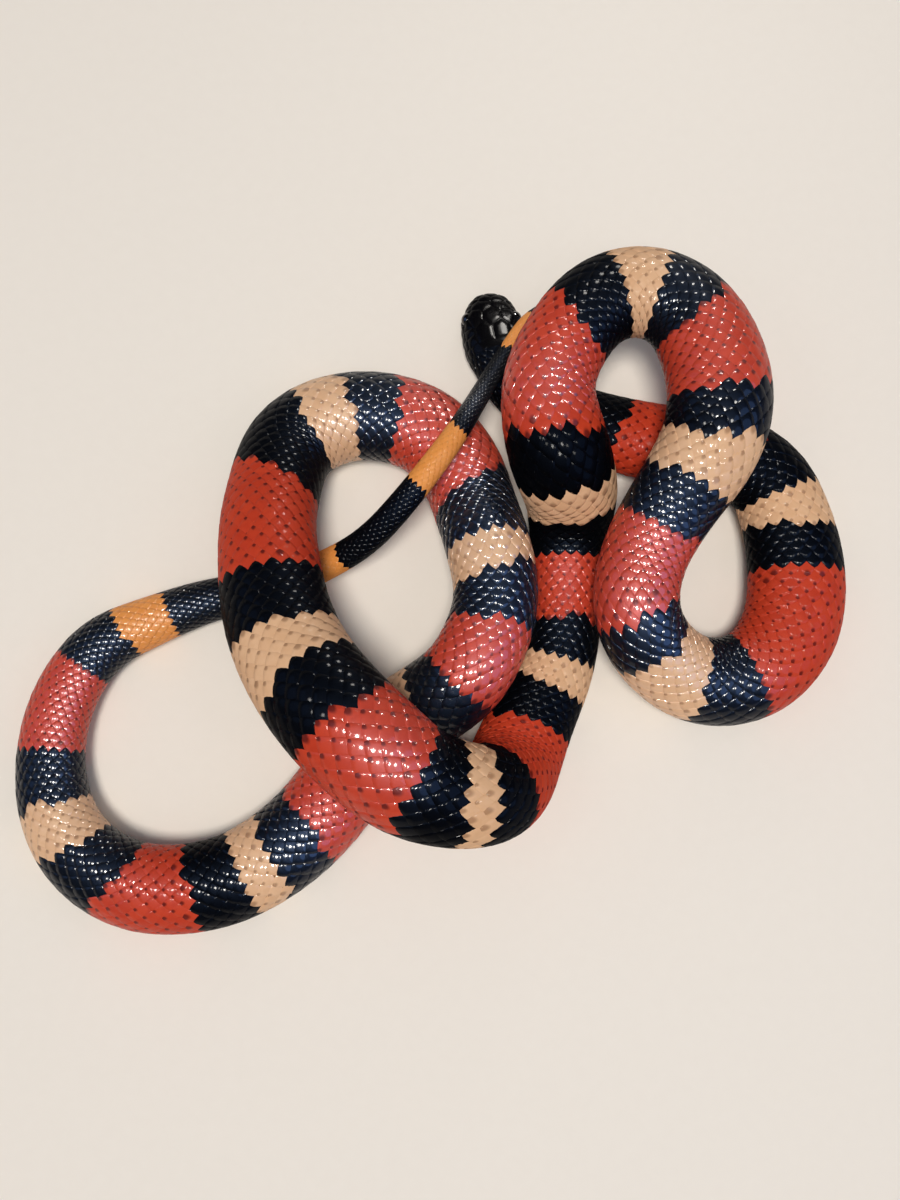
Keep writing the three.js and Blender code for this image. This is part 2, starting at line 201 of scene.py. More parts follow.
def trace_spine():
    """Evenly spaced rows of x, y, lift and half width along the route."""
    path = ROUTE[:, :3]
    path = np.vstack([2 * path[0] - path[1], path, 2 * path[-1] - path[-2]])
    fine = []
    t = np.arange(SPAN_SAMPLES)[:, None] / SPAN_SAMPLES
    for i in range(len(ROUTE) - 1):
        p = path[i:i + 4]
        gap = np.sqrt(np.linalg.norm(np.diff(p, axis=0), axis=1))
        leave = (p[1] - p[0]) / gap[0] - (p[2] - p[0]) / (gap[0] + gap[1]) + (p[2] - p[1]) / gap[1]
        arrive = (p[2] - p[1]) / gap[1] - (p[3] - p[1]) / (gap[1] + gap[2]) + (p[3] - p[2]) / gap[2]
        place = hermite(p[1], leave, p[2], arrive, gap[1], t)
        fine.append(np.hstack([place, mix(ROUTE[i, 3], ROUTE[i + 1, 3], t)]))
    fine = np.vstack(fine + [ROUTE[-1:]])
    along = np.concatenate([[0], np.cumsum(np.linalg.norm(np.diff(fine[:, :3], axis=0), axis=1))])
    count = round(along[-1] / SPINE_STEP)
    even = np.linspace(0, along[-1], count + 1)
    rows = np.stack([np.interp(even, along, column) for column in fine.T], axis=1)
    for _ in range(SPINE_PASSES):
        rows[1:-1] = (rows[:-2] + 2 * rows[1:-1] + rows[2:]) / 4
    return rows, along[-1]


SPINE, BODY_LENGTH = trace_spine()
SPINE_GAP = BODY_LENGTH / (len(SPINE) - 1)
_padded = np.vstack([SPINE[:1], SPINE, SPINE[-1:]])[:, :3]
SLOPES = unit(_padded[2:] - _padded[:-2])


def body_frame(s):
    """Foot of the section on the belly, half width, and the unit vectors tailward, to the left and up."""
    last = len(SPINE) - 1
    at = np.clip(np.asarray(s, float) / SPINE_GAP, 0, last)
    i = np.minimum(at.astype(int), last - 1)
    t = (at - i)[..., None]
    row = mix(SPINE[i], SPINE[i + 1], t)
    forward = unit(mix(SLOPES[i], SLOPES[i + 1], t))
    side = unit(np.stack([forward[..., 1], -forward[..., 0], np.zeros_like(forward[..., 0])], -1))
    up = np.cross(side, forward)
    foot = row[..., :3].copy()
    foot[..., 2] = np.maximum(foot[..., 2], 0)
    return foot, row[..., 3], forward, side, up


def half_width(s):
    return body_frame(s)[1]


# The outer form of head and body


def head_sizes(s):
    """Half width, crown and chin heights of the head, smooth between its stations."""
    at = HEAD_STATIONS[:, 0]
    low, high = HEAD_STATIONS[:-1], HEAD_STATIONS[1:]
    padded = np.vstack([HEAD_STATIONS[:1], HEAD_STATIONS, HEAD_STATIONS[-1:]])
    slope = (padded[2:] - padded[:-2]) / (padded[2:, :1] - padded[:-2, :1])
    s = np.clip(s, at[0], at[-1])
    i = np.clip(np.searchsorted(at, s, side="right") - 1, 0, len(at) - 2)
    gap = high[i, 0] - low[i, 0]
    u = (s - low[i, 0]) / gap
    return [hermite(low[i, c], slope[i, c], high[i, c], slope[i + 1, c], gap, u) for c in (1, 2, 3)]


def head_outline(s, turn):
    """Place to the left and height of the head's surface; the snout is closed by a low dome."""
    width, crown, chin = head_sizes(s)
    widest = mix(chin, crown, WIDEST_AT)
    cosine, sine = np.cos(np.radians(turn)), np.sin(np.radians(turn))
    out = width * np.abs(cosine) ** SIDE_SQUARENESS * np.sign(cosine)
    above = (crown - widest) * np.abs(sine) ** CROWN_SQUARENESS
    below = -(widest - chin) * np.abs(sine) ** SIDE_SQUARENESS
    height = widest + np.where(sine < 0, below, above)
    tilt = np.degrees(np.arctan2(sine, np.abs(cosine)))
    brow = BROW_SWELL * np.maximum(0, 1 - np.abs(s - EYE_AT[0]) / BROW_REACH)
    brow = brow * smoothstep(*BROW_FROM, tilt) * (1 - smoothstep(*BROW_TO, tilt))
    out = out + brow * np.sign(cosine)
    height = height + brow / 2
    front = HEAD_STATIONS[0, 0]
    shrink = np.sqrt(1 - np.clip((front - s) / front, 0, 1) ** 2)
    middle = (crown + chin) / 2
    return out * shrink, middle + (height - middle) * shrink


def outer_point(s, turn):
    """Points on the outer form, for arrays of distance and turn."""
    s, turn = np.broadcast_arrays(np.asarray(s, float), np.asarray(turn, float))
    foot, width, _, side, up = body_frame(s)
    beyond_head = np.clip((s - HEAD_LENGTH) / (ROUND_FROM - HEAD_LENGTH), 0, 1)
    roundness = mix(NECK_ROUNDNESS, BODY_ROUNDNESS, beyond_head)
    half_height = (width * roundness)[..., None]
    sine = np.sin(np.radians(turn))
    rise = np.where(sine > 0, sine, np.maximum(-1, BELLY_SPREAD * sine))[..., None]
    across = (width * np.cos(np.radians(turn)))[..., None]
    body = foot + half_height * (0, 0, 1) + side * across + up * half_height * rise
    point_end = BODY_LENGTH - TAIL_POINT
    cone = np.clip((s - point_end) / TAIL_POINT, 0, 1)[..., None]
    tip_foot, tip_width, tip_forward, _, tip_up = body_frame(point_end)
    tip = tip_foot + tip_up * tip_width * BODY_ROUNDNESS + tip_forward * TAIL_POINT
    body = mix(body, tip, cone**POINT_TAPER)
    out, height = head_outline(s, turn)
    head = foot + side * out[..., None] + up * height[..., None]
    return mix(head, body, smoothstep(*NECK_BLEND, s)[..., None])


def outer_normal(s, turn):
    """Unit vectors straight out of the outer form."""
    ahead, about = 0.05, 0.5
    along = outer_point(s + ahead, turn) - outer_point(s - ahead, turn)
    around = outer_point(s, turn + about) - outer_point(s, turn - about)
    return unit(np.cross(along, around))


def cheek_point(s, depth, height, hand):
    """A place on the cheek, on the left for hand 1 and on the right for hand -1."""
    foot, _, forward, side, up = body_frame(s)
    width = head_sizes(np.array(s))[0]
    return foot + side * hand * (width - depth) + up * height, forward, side * hand, up


# Markings


RING_KINDS = ("black", "red", "cream", "orange")
RING_ENDS, RING_LEANS = np.array(RINGS).T
RING_KIND_OF = np.resize([0, 2, 0, 1], len(RINGS))
RING_KIND_OF[(RING_KIND_OF > 0) & (RING_ENDS > ORANGE_FROM)] = 3
_waver = np.random.default_rng(11).uniform(0, 2 * math.pi, (2, len(RINGS)))


def ring_at(s, turn):
    """Index into RING_KINDS of the colour at a place, and the way to the ring's edge."""
    angle = np.radians(turn)[..., None]
    stray = np.sin(angle + _waver[0]) + SHORT_WAVER * np.sin(2 * angle + _waver[1])
    ends = RING_ENDS - RING_LEANS * np.cos(angle) + RING_WAVER * stray
    way = np.asarray(s)[..., None] - ends
    at = np.minimum((way > 0).sum(-1), len(RINGS) - 1)
    return RING_KIND_OF[at], np.abs(way).min(-1)


# Unwrap of the skin: the body cut into lanes that lie side by side

LANES = 6
LANE_LENGTH = (BODY_LENGTH + 0.01) / LANES
LANE_FILL = 0.96


def place_in_lane(s, round_share, lane):
    u = (lane + 0.5 + LANE_FILL * (round_share - 0.5)) / LANES
    v = 0.5 + LANE_FILL * ((s - lane * LANE_LENGTH) / LANE_LENGTH - 0.5)
    return np.stack([u, v], -1)


def unwrap(s, turn):
    """Place on the skin's map; the cut runs along the belly."""
    s = np.clip(s, 0, BODY_LENGTH)
    return place_in_lane(s, ((turn + 90) % 360) / 360, np.floor(s / LANE_LENGTH))


# Large shields of the head, as middles of their fields: name, distance, place to the side, height.
# A shield may have several middles. Those off the middle line are mirrored.

HEAD_SHIELDS = [
    ("rostral", 0.25, 0, 4.0), ("rostral", 0.45, 0, 4.9),
    ("mental", 0.5, 0, 1.9),
    ("internasal", 1.9, 1.45, 6.1),
    ("prefrontal", 3.9, 1.75, 7.3), ("prefrontal", 4.1, 3.7, 6.9),
    ("frontal", 6.0, 0, 8.2), ("frontal", 7.5, 0, 8.7),
    ("supraocular", 6.2, 4.0, 7.7), ("supraocular", 7.8, 4.2, 8.0),
    ("parietal", 10.0, 2.2, 9.2), ("parietal", 11.5, 2.4, 9.5), ("parietal", 12.9, 2.2, 9.7),
    ("prenasal", 1.05, 3.2, 4.4), ("postnasal", 2.55, 4.3, 5.1),
    ("loreal", 3.9, 5.4, 5.3),
    ("preocular", 5.1, 5.9, 6.0),
    ("upper_postocular", 9.0, 5.7, 6.9), ("lower_postocular", 9.0, 6.5, 5.2),
    ("temporal_1", 10.6, 5.7, 7.2), ("temporal_2", 10.8, 6.8, 5.5),
    ("temporal_3", 12.6, 5.5, 7.9), ("temporal_4", 12.7, 6.6, 6.3), ("temporal_5", 12.9, 6.9, 4.8),
    ("temporal_6", 14.6, 5.0, 8.4), ("temporal_7", 14.7, 6.2, 6.9), ("temporal_8", 14.9, 6.8, 5.2),
    ("occipital", 14.9, 2.2, 9.9),
]
UPPER_LABIALS = [0.95, 2.3, 3.75, 5.3, 7.1, 9.1, 11.2, 13.6]  # middles along the upper lip
LOWER_LABIALS = [1.1, 2.4, 3.9, 5.6, 7.5, 9.5, 11.6, 13.8]
UPPER_LIP_HEIGHT = 3.15
LOWER_LIP_HEIGHT = 1.35
CHIN_SHIELDS = [("front_chin", 2.6), ("front_chin", 3.9), ("rear_chin", 5.8), ("rear_chin", 7.3)]
GULAR_STEP = 2.3  # throat scales: their length, first place, and places to the side
GULAR_FROM = 4.6
GULAR_COUNT = 6
GULAR_ROWS = (0.7, 1.95, 3.2, 4.45)
CHIN_SPAN = (8.6, 2.1)  # they stay behind and beside this patch of chin shields
CHIN_ACROSS = 0.95
CHIN_HEIGHT = 0.1
SHIELD_GROOVE = 0.1  # depth of the furrow between two shields
SHIELD_CROWN = 0.11  # how far the middle of a shield stands above its edge
CROWN_REACH = 1.1
GROOVE_SPAN = (0.04, 0.27)  # from a furrow's floor to its brim
CROWN_FADE = (12.4, 13.9)  # the relief runs out here on the crown, under the first scales
CROWN_SIDE = (0.5, 0.8)  # sines of the turns between the cheek and the crown
MOUTH_CLEFT = 0.5
MOUTH_SPAN = (0.03, 0.22)
MOUTH_FADE = 1.2
MOUTH_CEILING = 0.1  # sine of the turn above which no mouth is cut
NOSTRIL_DEPTH = 0.6
NOSTRIL_SPAN = (0.252, 0.525)  # from the floor of the pit to its brim
CHEEK_FROM = 1.5  # nostrils and eyes lie further than this from the middle line
FAR_OFF = 9.0


def shield_middles():
    """Numbers of the shields and places of their middles, mirrored."""
    half = list(HEAD_SHIELDS)
    for k, s in enumerate(UPPER_LABIALS):
        half.append((f"upper_labial_{k}", s, side_at(s, UPPER_LIP_HEIGHT), UPPER_LIP_HEIGHT))
    for k, s in enumerate(LOWER_LABIALS):
        half.append((f"lower_labial_{k}", s, side_at(s, LOWER_LIP_HEIGHT), LOWER_LIP_HEIGHT))
    half += [(name, s, CHIN_ACROSS, CHIN_HEIGHT) for name, s in CHIN_SHIELDS]
    for k in range(GULAR_COUNT):
        for j, across in enumerate(GULAR_ROWS):
            s = GULAR_FROM + GULAR_STEP * (k + 0.5 * (j % 2))
            if s > CHIN_SPAN[0] or across > CHIN_SPAN[1]:
                half.append((f"gular_{k}_{j}", s, across, CHIN_HEIGHT))
    names, places = [], []
    for name, s, across, height in half:
        names.append(name)
        places.append((s, across, height))
        if across > 0:
            names.append(name + "_right")
            places.append((s, -across, height))
    return np.unique(names, return_inverse=True)[1], np.array(places)


def side_at(s, height):
    """How far the head's side stands out at a height below its widest line."""
    turns = np.linspace(-85, 20, 400)
    out, heights = head_outline(np.full_like(turns, s), turns)
    return float(np.interp(height, heights, out))


def head_relief(s, turn):
    """How far the head's skin stands over its plain form, and how far each place is from an eye's middle."""
    out, height = head_outline(s, turn)
    here = np.stack([s, out, height], -1).reshape(-1, 3)
    numbers, places = shield_middles()
    reach = ((here[:, None] - places[None]) ** 2).sum(-1)
    nearest = reach.argmin(1)
    own = reach[np.arange(len(here)), nearest]
    apart = np.linalg.norm(places[nearest][:, None] - places[None], axis=-1)
    gap = (reach - own[:, None]) / np.maximum(2 * apart, 1e-9)
    gap[numbers[nearest][:, None] == numbers[None]] = 99
    edge = gap.min(1).reshape(s.shape)
    sine = np.sin(np.radians(turn))
    relief = SHIELD_CROWN * smoothstep(0, CROWN_REACH, edge)
    relief = relief - SHIELD_GROOVE * (1 - smoothstep(*GROOVE_SPAN, edge))
    relief = relief * (1 - smoothstep(*CROWN_FADE, s) * smoothstep(*CROWN_SIDE, sine))
    _, crown, chin = head_sizes(s)
    widest = mix(chin, crown, WIDEST_AT)
    mouth = widest - (widest - chin) * abs(math.sin(math.radians(MOUTH_TURN))) ** SIDE_SQUARENESS
    cleft = 1 - smoothstep(*MOUTH_SPAN, np.abs(height - mouth))
    cleft = cleft * (1 - smoothstep(MOUTH_END - MOUTH_FADE, MOUTH_END, s))
    relief = mix(relief, -MOUTH_CLEFT, cleft * (sine < MOUTH_CEILING))
    nostril = np.hypot(s - NOSTRIL_AT[0], height - NOSTRIL_AT[1])
    nostril = np.where(np.abs(out) > CHEEK_FROM, nostril, FAR_OFF)
    relief = mix(relief, -NOSTRIL_DEPTH, 1 - smoothstep(*NOSTRIL_SPAN, nostril))
    rim = np.hypot(s - EYE_AT[0], height - EYE_AT[2])
    return relief, np.where(np.abs(out) > CHEEK_FROM, rim, FAR_OFF)


# Meshes


def object_of(name, data):
    made = bpy.data.objects.new(name, data)
    bpy.context.scene.collection.objects.link(made)
    return made


def mesh_of(bm, name):
    """A smooth mesh from a bmesh, which is then done with."""
    for face in bm.faces:
        face.smooth = True
    mesh = bpy.data.meshes.new(name)
    bm.to_mesh(mesh)
    bm.free()
    return mesh


def wrapped_grid(bm, distances, turns, place):
    """Adds a grid whose rows are sections and whose columns run round them, put in place by a function."""
    made = bmesh.ops.create_grid(bm, x_segments=len(turns) - 1, y_segments=len(distances) - 1, size=0.5)
    along = bm.verts.layers.float["along"]
    round_at = bm.verts.layers.float["turn"]
    grid_s, grid_turn = np.meshgrid(distances, turns, indexing="ij")
    points = place(grid_s, grid_turn) * MM
    for vert in made["verts"]:
        i = round((vert.co.y + 0.5) * (len(distances) - 1))
        j = round((vert.co.x + 0.5) * (len(turns) - 1))
        vert[along] = distances[i]
        vert[round_at] = turns[j]
        vert.co = points[i, j]


def grid_normals(points):
    """Outward unit vectors of a grid of points whose first and last columns meet."""
    along = np.gradient(points, axis=0)
    closed = np.concatenate([points[:, -2:-1], points, points[:, 1:2]], axis=1)
    around = closed[:, 2:] - closed[:, :-2]
    return unit(np.cross(along, around))


HEAD_SKIN_TO = 20.2
HEAD_SKIN_STEP = 0.105
HEAD_SKIN_SIDES = 300
BODY_SKIN_STEP = 2.0
BODY_SKIN_SIDES = 64
SHIELD_BASE = 0.12  # depth of the head's own surface below the solids, before its shields
SHIELDS_END = (14.2, 16.4)  # the shields give way here to the skin under the scales
SOCKET_RADIUS = 1.17
SOCKET_EDGE = (1.07, 1.25)  # from the floor of the socket to its brim
SOCKET_GAP = 0.45  # the floor lies this far under the eye
LID_SWELL = 0.13  # the rim round the eye: its height, how far out it stands and how wide it is
LID_OFFSET = 0.32
LID_REACH = 0.2
MOUTH_CROWDING = 2.5  # how much closer the columns lie along the mouth, and over how many degrees
CROWDING_REACH = 4.0
DOME_RINGS = 20
SEAM_GAP = 0.6  # between the head's finer skin and the body's


def even_turns():
    """Turns from the belly round to the belly, in even steps at the eyes, closer together along the mouth."""
    turns = np.linspace(-90, 270, 3601)
    out, height = head_outline(np.full_like(turns, EYE_AT[0]), turns)
    tilt = np.degrees(np.arcsin(np.sin(np.radians(turns[1:]))))
    crowding = 1 + MOUTH_CROWDING * np.exp(-((tilt - MOUTH_TURN) / CROWDING_REACH) ** 2)
    steps = np.concatenate([[0], np.cumsum(np.hypot(np.diff(out), np.diff(height)) * crowding)])
    return np.interp(np.linspace(0, steps[-1], HEAD_SKIN_SIDES + 1), steps, turns)


def head_skin(s, turn):
    """The head's surface with its shields, mouth, nostrils, eye sockets and the rims round them."""
    points = outer_point(s, turn)
    normals = grid_normals(points)
    foot, _, forward, side, _ = body_frame(s)
    normals[0] = -forward[0]
    relief, from_eye = head_relief(s, turn)
    depth = mix(SHIELD_BASE - relief, SKIN_DEPTH, smoothstep(*SHIELDS_END, s))
    points = points - normals * depth[..., None]
    eye_s, eye_depth, _ = EYE_AT
    hand = np.sign(np.cos(np.radians(turn)))
    bulge = np.sqrt(np.clip(EYE_RADIUS**2 - from_eye**2, 0, None)) - eye_depth
    lid = head_sizes(np.array(eye_s))[0] + bulge
    out = ((points - foot) * side).sum(-1) * hand
    inside = 1 - smoothstep(*SOCKET_EDGE, from_eye)
    wanted = mix(out, np.minimum(out, lid - SOCKET_GAP), inside)
    rim = LID_SWELL * np.exp(-((from_eye - SOCKET_RADIUS - LID_OFFSET) / LID_REACH) ** 2)
    return points + side * (hand * (wanted - out + rim))[..., None]


def skin_depth(s):
    return SKIN_DEPTH * np.clip((BODY_LENGTH - s) / DEPTH_FADE, 0, 1)


def body_skin(s, turn):
    return outer_point(s, turn) - outer_normal(s, turn) * skin_depth(s)[..., None]


def make_skin():
    """One closed skin from snout to tail tip."""
    bm = bmesh.new()
    bm.verts.layers.float.new("along")
    bm.verts.layers.float.new("turn")
    front = HEAD_STATIONS[0, 0]
    dome = front * (1 - np.cos(np.linspace(0, math.pi / 2, DOME_RINGS)))
    rings = np.concatenate([dome, np.arange(front + HEAD_SKIN_STEP, HEAD_SKIN_TO, HEAD_SKIN_STEP)])
    turns = even_turns()
    turns[-1] = turns[0] + 360
    wrapped_grid(bm, rings, turns, head_skin)
    start, end = rings[-1] + SEAM_GAP, BODY_LENGTH - TAIL_POINT
    count = round((end - start) / BODY_SKIN_STEP)
    tip_rings = [BODY_LENGTH - TAIL_POINT / 2, BODY_LENGTH]
    rings = np.concatenate([np.linspace(start, end, count), tip_rings])
    wrapped_grid(bm, rings, np.linspace(-90, 270, BODY_SKIN_SIDES + 1), body_skin)
    bmesh.ops.remove_doubles(bm, verts=bm.verts, dist=2e-7)
    bmesh.ops.dissolve_degenerate(bm, dist=1e-7, edges=bm.edges)
    bmesh.ops.bridge_loops(bm, edges=[e for e in bm.edges if e.is_boundary])
    bmesh.ops.recalc_face_normals(bm, faces=bm.faces)
    return finish_skin(mesh_of(bm, "skin"))


def read(collection, name, kind):
    values = np.zeros(len(collection), kind)
    collection.foreach_get(name, values)
    return values


def finish_skin(mesh):
    """Gives the skin its ring colours and its map."""
    s = read(mesh.attributes["along"].data, "value", np.float32)
    turn = read(mesh.attributes["turn"].data, "value", np.float32)
    kinds, _ = ring_at(s, turn)
    kinds = np.where(s < HEAD_LENGTH, 0, kinds)
    write_colours(mesh, SKIN_COLOURS[kinds])
    corner = read(mesh.loops, "vertex_index", np.int32)
    starts = read(mesh.polygons, "loop_start", np.int32)
    totals = read(mesh.polygons, "loop_total", np.int32)
    face = np.repeat(np.arange(len(starts)), totals)
    corner_s, corner_turn = s[corner], turn[corner]
    mean_s = np.bincount(face, corner_s) / totals
    high = np.maximum.reduceat(corner_turn, starts)[face]
    wrapped = corner_turn + 360 * (high - corner_turn > 180)
    lane = np.floor(np.clip(mean_s, 0, BODY_LENGTH) / LANE_LENGTH)[face]
    places = place_in_lane(corner_s, (wrapped + 90) / 360, lane)
    layer = mesh.uv_layers.new(name="OFBake")
    layer.uv.foreach_set("vector", places.astype(np.float32).ravel())
    return object_of("skin", mesh)


def write_colours(mesh, colours):
    layer = mesh.color_attributes.new("ring_colour", "FLOAT_COLOR", "POINT")
    rgba = np.hstack([colours, np.ones((len(colours), 1))])
    layer.data.foreach_set("color", rgba.astype(np.float32).ravel())


class Plate:
    """A small closed plate to repeat: its corners, its faces, and which of them are smooth."""

    def __init__(self, across, along, shape, thickness):
        bm = bmesh.new()
        bmesh.ops.create_grid(bm, x_segments=across, y_segments=along, size=1)
        for vert in bm.verts:
            vert.co = shape(vert.co.x, (vert.co.y + 1) / 2)
        top = set(bm.faces)
        pulled = bmesh.ops.extrude_edge_only(bm, edges=[e for e in bm.edges if e.is_boundary])["geom"]
        lower = [v for v in pulled if isinstance(v, bmesh.types.BMVert)]
        bmesh.ops.translate(bm, vec=(0, 0, -thickness), verts=lower)
        middle = Matrix.Translation(-sum((v.co for v in lower), Vector()) / len(lower))
        bmesh.ops.scale(bm, vec=(RIM_SPREAD, RIM_SPREAD, 1), space=middle, verts=lower)
        bmesh.ops.contextual_create(bm, geom=[e for e in pulled if isinstance(e, bmesh.types.BMEdge)])
        bmesh.ops.recalc_face_normals(bm, faces=bm.faces)
        bm.verts.index_update()
        self.corners = np.array([v.co[:] for v in bm.verts])
        faces = [[v.index for v in f.verts] for f in bm.faces]
        self.smooth = np.array([f in top for f in bm.faces])
        self.loops = np.concatenate(faces)
        self.totals = np.array([len(f) for f in faces])
        bm.free()


def joined_plates(name, plate, placed, roots, **looks):
    """One mesh of many plates: placed holds each one's corners, roots its place on the skin's map."""
    count, size = placed.shape[:2]
    mesh = bpy.data.meshes.new(name)
    mesh.vertices.add(count * size)
    mesh.vertices.foreach_set("co", (placed * MM).astype(np.float32).ravel())
    loops = (plate.loops[None] + size * np.arange(count)[:, None]).ravel()
    mesh.loops.add(len(loops))
    mesh.loops.foreach_set("vertex_index", loops.astype(np.int32))
    totals = np.tile(plate.totals, count)
    mesh.polygons.add(len(totals))
    mesh.polygons.foreach_set("loop_start", (np.cumsum(totals) - totals).astype(np.int32))
    mesh.update(calc_edges=True)
    mesh.polygons.foreach_set("use_smooth", np.tile(plate.smooth, count))
    for title, values in looks.items():
        layer = mesh.attributes.new(title, "FLOAT", "POINT")
        layer.data.foreach_set("value", np.repeat(values, size).astype(np.float32))
    own = plate.corners[plate.loops][:, :2]
    face_map = mesh.uv_layers.new(name="plate_face")
    face_map.uv.foreach_set("vector", np.tile(own, (count, 1)).astype(np.float32).ravel())
    low, high = own.min(0), own.max(0)
    patch = BAKE_PATCH * ((own - low) / (high - low) - 0.5)
    bake_map = mesh.uv_layers.new(name="OFBake")
    bake_map.uv.foreach_set("vector", (roots[:, None] + patch[None]).astype(np.float32).ravel())
    return mesh


BAKE_PATCH = 0.003
RIM_SPREAD = 1.06  # the underside is this much wider, so the edges slope into the next plates

# One scale of the back: across in half row spacings, along in lengths behind the tip, height in mm
SCALE_ACROSS = 6
SCALE_ALONG = 4
SCALE_ROOT = -1.3
SCALE_SHOULDER = 0.5  # the scale is widest this far before its tip
TIP_CURVE = 1.45  # power that rounds the tip
ROOT_CURVE = 0.45
WIDENING = 0.7  # power by which it widens from root to shoulder
SCALE_WIDTH = 1.14
ROOT_WIDTH = 0.85
ROOT_HEIGHT = -0.06
TIP_HEIGHT = 0.1
CROSS_CROWN = 0.05
LONG_CROWN = 0.1
CREST_AT = 0.5  # the crest lies this far before the tip
CREST_REACH = 0.6
CREST_RISE = 0.69  # keeps the tip near its height
SCALE_EDGE = 0.13  # thickness at the free edge


def scale_shape(x, t):
    """Corner of a scale at x across, from -1 to 1, and t along, from root to free edge."""
    rear = -SCALE_SHOULDER * abs(x) ** TIP_CURVE
    root = SCALE_ROOT + ROOT_CURVE * x * x
    along = mix(root, rear, t)
    across = x * mix(ROOT_WIDTH, SCALE_WIDTH, t**WIDENING)
    height = mix(ROOT_HEIGHT, TIP_HEIGHT, (along - SCALE_ROOT) / -SCALE_ROOT)
    height -= CROSS_CROWN * across**2 + LONG_CROWN * (((along + CREST_AT) / CREST_REACH) ** 2 - CREST_RISE)
    return across, along, height


# One belly plate: across from side to side, along in lengths behind the free edge
PLATE_ACROSS = 14
PLATE_ALONG = 3
PLATE_ROOT = -1.25
PLATE_EDGE = 0.07
PLATE_CURVE = 0.1
PLATE_ROOT_HEIGHT = -0.05
PLATE_FREE_HEIGHT = 0.23
PLATE_CROWN = 0.04
PLATE_DIP = 0.22  # the plate's ends lie this much deeper, under the lowest row of scales


def plate_shape(x, t):
    """Corner of a belly plate, as for a scale."""
    rear = -PLATE_CURVE * abs(x) ** 3
    along = mix(PLATE_ROOT, rear, t)
    height = mix(PLATE_ROOT_HEIGHT, PLATE_FREE_HEIGHT, (along - PLATE_ROOT) / -PLATE_ROOT)
    height -= PLATE_CROWN * ((along + CREST_AT) / CREST_REACH) ** 2 + PLATE_DIP * abs(x) ** 6
    return x, along, height


# How the scales differ from each other: place in lengths, height in mm, slant, and size of the dark mark
TIP_SCATTER = 0.03
LIFT_SCATTER = 0.012
LEAN_SCATTER = 0.04
MARK_SIZES = (0.75, 1.15)
EDGE_BAND = 0.6  # scales this near a ring's edge, in lengths, have marks larger by up to the growth
EDGE_GROWTH = 0.9


def pitch_at(s):
    """Length from tip to tip along a row."""
    return SCALE_PITCH * (half_width(s) / 10) ** PITCH_GROWTH


# How many scale lengths lie before each distance
PHASE_S = np.linspace(0, BODY_LENGTH, 4000)
PHASE = np.concatenate([[0], np.cumsum(np.diff(PHASE_S) / pitch_at((PHASE_S[1:] + PHASE_S[:-1]) / 2))])


def tips_between(start, end, offset):
    """Distances of the tips in one row, offset by a share of a scale."""
    first, last = np.interp([start, end], PHASE_S, PHASE)
    steps = np.arange(math.ceil(first - offset), math.floor(last - offset) + 1) + offset
    return np.interp(steps, PHASE, PHASE_S)


def rows_of(count):
    """Turn and half spacing of each row, from the left side over the back to the right."""
    k = np.arange(count) - (count - 1) / 2
    spacing = (BODY_ROWS - 1) / (count - 1)
    k = k * spacing
    turn = 90 + BACK_SPACING * k + FLANK_SPREAD * k * np.abs(k)
    half = (BACK_SPACING + 2 * FLANK_SPREAD * np.abs(k)) * spacing
    return turn, half


def scale_places():
    """Tip distance, turn, half width in degrees and length of every scale of the back and sides."""
    tips, turns, halves = [], [], []
    stretches = (
        (BODY_ROWS, COAT_FROM, TAIL_ROWS_FROM),
        (TAIL_ROWS, TAIL_ROWS_FROM, BODY_LENGTH - COAT_STOP),
    )
    for count, start, end in stretches:
        for k, (turn, half) in enumerate(zip(*rows_of(count))):
            row = tips_between(start, end, 0.5 * (k % 2))
            tips.append(row)
            turns.append(np.full_like(row, turn))
            halves.append(np.full_like(row, half))
    return np.concatenate(tips), np.concatenate(turns), np.concatenate(halves)


def place_plates(plate, tips, turns, halves, lengths, lifts, lean):
    """Every plate's corners on the body."""
    across, along, height = plate.corners.T
    s = tips[:, None] + along[None] * lengths[:, None]
    turn = turns[:, None] + across[None] * halves[:, None] + lean[:, None] * along[None] * halves[:, None]
    out = (height[None] + lifts[:, None]) * np.minimum(1, half_width(s) / FULL_RELIEF) ** 2
    return outer_point(s, turn) + outer_normal(s, turn) * (out - skin_depth(s))[..., None]


def make_scales():
    """The scales of the back and sides, joined by colour."""
    rng = np.random.default_rng(7)
    plate = Plate(SCALE_ACROSS, SCALE_ALONG, scale_shape, SCALE_EDGE)
    tips, turns, halves = scale_places()
    lengths = pitch_at(tips)
    tips = tips + rng.normal(0, TIP_SCATTER, len(tips)) * lengths
    lifts = rng.normal(0, LIFT_SCATTER, len(tips))
    lean = rng.normal(0, LEAN_SCATTER, len(tips))
    tones = rng.uniform(0, 1, len(tips))
    kinds, margin = ring_at(tips - 0.5 * lengths, turns)
    marks = rng.uniform(*MARK_SIZES, len(tips))
    marks += (margin < EDGE_BAND * lengths) * rng.uniform(0, EDGE_GROWTH, len(tips))
    # The painted sheen of each scale, read from the table along the body
    blooms = np.interp(tips, *np.array(PAINTED_SHEEN).T)
    placed = place_plates(plate, tips, turns, halves, lengths, lifts, lean)
    roots = unwrap(tips + SCALE_ROOT * lengths, turns)
    pieces = []
    for name, kind, start, end in SCALE_PIECES:
        chosen = (kinds == RING_KINDS.index(kind)) & (tips >= start) & (tips < end)
        mesh = joined_plates(name, plate, placed[chosen], roots[chosen], tone=tones[chosen],
                             mark=marks[chosen], bloom=blooms[chosen])
        pieces.append((object_of(name, mesh), kind))
    return pieces


